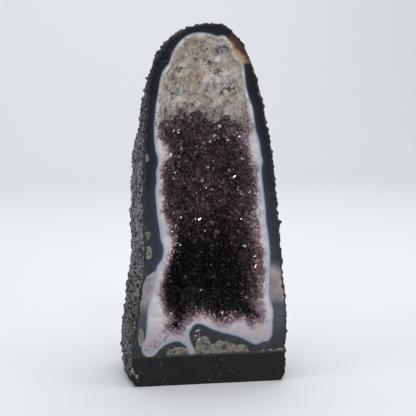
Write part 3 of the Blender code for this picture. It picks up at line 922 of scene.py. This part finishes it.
def makeCrust():
    pale = paleMask(liningGrid)
    # the calcite lies thicker, in low lumps; the ground between the points is only uneven
    lump = 1.6 + 1.9 * noiseAt(liningGrid, 9) + 0.8 * noiseAt(liningGrid + 9, 4)
    lump = lump + 0.25 * noiseAt(liningGrid, 1.8)
    uneven = 0.5 * noiseAt(liningGrid, 3)
    out = np.where(pale > 0, climb(pale, 0, 3) * lump, uneven) * climb(liningGrid[..., 1] - faceY, 0, 3)
    lining = liningGrid + liningNormal * out[..., None]
    lining[..., 1] = np.maximum(lining[..., 1], faceY)
    lining[(0, -1)], lining[:, (0, -1)] = liningGrid[(0, -1)], liningGrid[:, (0, -1)]
    bm = bmesh.new()
    for f in facesOf(addGrid(bm, lining)):
        f.material_index = 1
        f.smooth = f.calc_center_median().z > crust["smoothFrom"] * mm
    addFlat(bm, blueRing, rimOf(lining)[:-1], 0, crust["bandStep"])
    closeBack(bm, blueLine, hollow["rockDepth"], hollow["backGap"])
    piece = makePiece("crystal_ground", bm, (sawnQuartz, druseGround), "crystal_crust")
    giveDistances(piece.data, 0.5, fromBlue=(blueAll[::3], 20.0), fromCrystals=(crystalAll[::3], 0.0))
    giveAttribute(piece.data, "pale", paleMask(coordinatesOf(piece.data)))
    return piece


def repeatShape(template, count):
    # many copies in one bmesh: doubled again and again, with one more where the count is odd
    one, grown = bpy.data.meshes.new("one"), bpy.data.meshes.new("grown")
    template.to_mesh(one)
    template.to_mesh(grown)
    for bit in bin(count)[3:]:
        bm = bmesh.new()
        for part in (grown, grown, one)[:2 + int(bit)]:
            bm.from_mesh(part)
        bm.to_mesh(grown)
        bm.free()
    bm = bmesh.new()
    bm.from_mesh(grown)
    bpy.data.meshes.remove(one)
    bpy.data.meshes.remove(grown)
    return bm


def stampCopies(name, template, frames, finish, **values):
    # one piece of many copies, each put in its own frame: right, up, out and middle, in mm
    verts = np.array([v.co for v in template.verts])
    right, up, out, middle = (a[:, None, :] for a in frames)
    place = middle + verts[None, :, :1] * right + verts[None, :, 1:2] * up + verts[None, :, 2:] * out
    place[..., 1] = np.maximum(place[..., 1], faceY + 0.05)
    piece = makePiece(name, repeatShape(template, len(middle)), (finish,), "crystal_crust")
    piece.data.vertices.foreach_set("co", (place * mm).astype(np.float32).ravel())
    for key, value in values.items():
        giveAttribute(piece.data, key, np.repeat(value, len(verts)))
    return piece


def pointTemplate():
    # a six-sided quartz point: a short prism sunk in the ground, under a six-faced tip
    bm = bmesh.new()
    bmesh.ops.create_cone(bm, cap_ends=True, segments=6, radius1=1, radius2=1, depth=1.6)
    top = [f for f in bm.faces if f.normal.z > 0.9]
    poked = bmesh.ops.poke(bm, faces=top)["verts"]
    bmesh.ops.translate(bm, verts=poked, vec=(0, 0, 1.05))
    return bm


def blockTemplate():
    # a leaning calcite rhomb
    bm = bmesh.new()
    bmesh.ops.create_cube(bm, size=1.6)
    for v in bm.verts:
        v.co.x += 0.35 * v.co.z
        v.co.y += 0.25 * v.co.x
    return bm


def scatter(pitch, seed):
    # jittered places over the lining, row by row
    chance = np.random.default_rng(seed)
    middle = liningGrid[:, liningGrid.shape[1] // 2]
    reach = lengthsAlong(middle)
    levels = np.arange(0.3 * pitch, reach[-1], 0.87 * pitch)
    points, normals = [], []
    for k, level in enumerate(np.interp(levels, reach, np.arange(len(reach)))):
        upper = min(int(level), len(middle) - 2)
        t = level - upper
        row = liningGrid[upper] * (1 - t) + liningGrid[upper + 1] * t
        rowNormal = liningNormal[upper] * (1 - t) + liningNormal[upper + 1] * t
        along = lengthsAlong(row)
        count = max(4, round(along[-1] / pitch))
        places = np.arange(count) + 0.25 + 0.5 * (k % 2) + chance.uniform(-0.33, 0.33, count)
        where = np.clip(places * along[-1] / count, 0, along[-1])
        points.append(np.stack([np.interp(where, along, row[:, a]) for a in range(3)], axis=1))
        normals.append(np.stack([np.interp(where, along, rowNormal[:, a]) for a in range(3)], axis=1))
    points, normals = np.vstack(points), np.vstack(normals)
    points = points + chance.normal(0, 0.16 * pitch, points.shape)
    return points, normals, paleMask(points), chance


def framesFor(points, normals, wide, tall, lean, sink, chance):
    # right, up and out vectors of each copy, scaled to its size
    count = len(points)
    out = unit(normals + chance.normal(0, lean, (count, 3)))
    right = unit(np.cross(out, chance.normal(0, 1, (count, 3))))
    up = np.cross(out, right)
    width = wide[0] + (wide[1] - wide[0]) * chance.random(count) ** 2.2
    # smaller beside the sawn edge
    width = width * (0.6 + 0.4 * climb(points[:, 1] - faceY, 0, 8))
    height = width * chance.uniform(*tall, count)
    squash = chance.uniform(0.8, 1.2, count)
    middle = points + normals * (sink * height)[:, None]
    return right * (width * squash)[:, None], up * width[:, None], out * height[:, None], middle


def growPoints():
    points, normals, pale, chance = scatter(crust["pitch"], crust["seed"])
    keep = pale < chance.uniform(-1, 6, len(points))
    points, normals, pale = points[keep], normals[keep], pale[keep]
    frames = framesFor(points, normals, crust["pointWide"], crust["pointTall"], crust["lean"], 0.15, chance)
    count = len(points)
    grey = climb(pale, -22, 0) * np.clip(chance.normal(0.4, 0.35, count), 0, 0.9)
    dull = (chance.random(count) > 0.3) * chance.uniform(0.6, 1.1, count)
    height, deep = points[:, 2], points[:, 1] - faceY
    patch = noiseAt(points, 16)
    small = noiseAt(points + 70, 5)
    # darker with depth into the hollow, partly the purple deepening and partly painted shade; the right wall
    # stays mauve far in, and the lower middle is painted darkest, partly as shade
    onRight = np.clip(-normals[:, 0], 0, 1) ** 2
    onShelf = np.clip(normals[:, 2], 0, 1)
    low = climb(height, 150, 120)
    reach = 4.5 + (10 + 18 * low) * onRight + 10 * onShelf
    tone = 0.26 + np.minimum(deep / reach, 1) * (0.38 + 0.12 * low) + 0.2 * small + 0.16 * patch
    tone += 0.36 * climb(height, 150, 90) * climb(deep, 12, 28) * (1 - onRight)
    tone -= 0.1 * climb(pale, -18, 0)
    tone = np.clip(tone, 0.02, 1)
    darkest = tone > 0.9
    shade = np.clip(chance.normal(0.45, 0.23, count), 0, 1)
    # painted highlight: the points picked here are coloured and shaded as glints
    share = np.where(darkest, crust["darkGlints"], crust["glints"])
    glint = (chance.random(count) > 1 - share).astype(float) * (deep > 3)
    dull += 0.9 * darkest
    dull[glint > 0] = 0
    values = {"tone": tone, "shade": shade, "grey": grey, "dull": dull, "glint": glint}
    upper = height >= crust["splitAt"]
    return [stampCopies(name, pointTemplate(), [a[part] for a in frames], amethyst,
                        **{key: value[part] for key, value in values.items()})
            for name, part in (("amethyst_upper", upper), ("amethyst_lower", ~upper))]


def growCalcite():
    points, normals, pale, chance = scatter(crust["palePitch"], crust["seed"] + 1)
    keep = (pale > 1.5) & (points[:, 1] > faceY + 2.5)
    points, normals, pale = points[keep], normals[keep], pale[keep]
    frames = framesFor(points + normals * 1.2, normals, crust["paleWide"], crust["paleTall"],
                       crust["paleLean"], 0.3, chance)
    return stampCopies("calcite_blocks", blockTemplate(), frames, calcite,
                       shade=chance.random(len(points)), pale=pale)


ground = makeCrust()
print("crust ground made", len(ground.data.polygons))
for druse in growPoints():
    print("points grown", len(druse.data.polygons))
growth = growCalcite()
print("calcite grown", len(growth.data.polygons))


# camera, floor and light, in metres

stage = {"half": 1.6, "bend": 0.9, "bendSteps": 12, "wallHeight": 2.5}


def extrudeEdges(bm, edges):
    # the new points and the new edges
    made = bmesh.ops.extrude_edge_only(bm, edges=edges)["geom"]
    return [[g for g in made if isinstance(g, kind)] for kind in (bmesh.types.BMVert, bmesh.types.BMEdge)]


def standStage():
    # a pale floor that sweeps up behind
    bm = bmesh.new()
    bmesh.ops.create_grid(bm, x_segments=1, y_segments=1, size=stage["half"])
    back = [e for e in bm.edges if all(v.co.y > 0 for v in e.verts)]
    for step in range(stage["bendSteps"]):
        angle = math.radians(90) * (step + 1) / stage["bendSteps"]
        verts, back = extrudeEdges(bm, back)
        for v in verts:
            v.co.y = stage["half"] + stage["bend"] * math.sin(angle)
            v.co.z = stage["bend"] * (1 - math.cos(angle))
    bmesh.ops.translate(bm, verts=extrudeEdges(bm, back)[0], vec=(0, 0, stage["wallHeight"]))
    bmesh.ops.recalc_face_normals(bm, faces=bm.faces)
    for f in bm.faces:
        f.smooth = True
    paper = Finish("palePaper", Base_Color=linear(224, 226, 229), Roughness=0.6)
    showMesh("floor", bm, (paper,))


view = {"place": (-0.1801991, -1.0768274, 0.2940563), "aim": (0.0091338, 0, 0.1520305), "lens": 102.54}

middle = (0, 0, 0.15)
lights = (
    # name, place, aim, size, watts
    ("topSoft", (0.0, -0.1, 1.5), middle, 1.3, 9.0),
    ("leftSoft", (-1.5, -0.5, 0.8), middle, 1.0, 6.5),
    ("rightSoft", (1.4, -0.7, 0.9), middle, 1.0, 5.0),
    ("backSoft", (0.3, 0.7, 1.9), (0.2, 2.4, 0.5), 1.6, 25.0),
    ("glintLeft", (-0.7, -1.5, 1.0), middle, 0.14, 2.2),
    ("glintRight", (0.5, -1.5, 0.7), middle, 0.14, 1.8),
    ("glintHigh", (0.1, -1.2, 1.3), middle, 0.16, 2.2),
)


def standAt(name, data, place, aim):
    # an object at its place, turned to what it aims at
    thing = show(name, data)
    thing.location = place
    thing.rotation_euler = (Vector(aim) - Vector(place)).to_track_quat("-Z", "Y").to_euler()
    return thing


def standLights():
    for name, place, aim, size, watts in lights:
        light = bpy.data.lights.new(name, "AREA")
        light.shape = "SQUARE"
        light.size = size
        light.energy = watts
        standAt(name, light, place, aim)
    world = bpy.data.worlds.new("studio")
    world.use_nodes = True
    sky = world.node_tree.nodes["Background"].inputs
    sky["Color"].default_value = linear(232, 236, 242)
    sky["Strength"].default_value = 0.4
    bpy.context.scene.world = world


def standCamera():
    camera = standAt("camera", bpy.data.cameras.new("camera"), view["place"], view["aim"])
    camera.data.lens = view["lens"]
    camera.data.clip_start = 0.01
    bpy.context.scene.camera = camera


standStage()
standLights()
standCamera()
bpy.context.scene.view_settings.view_transform = "Standard"
print("studio set")
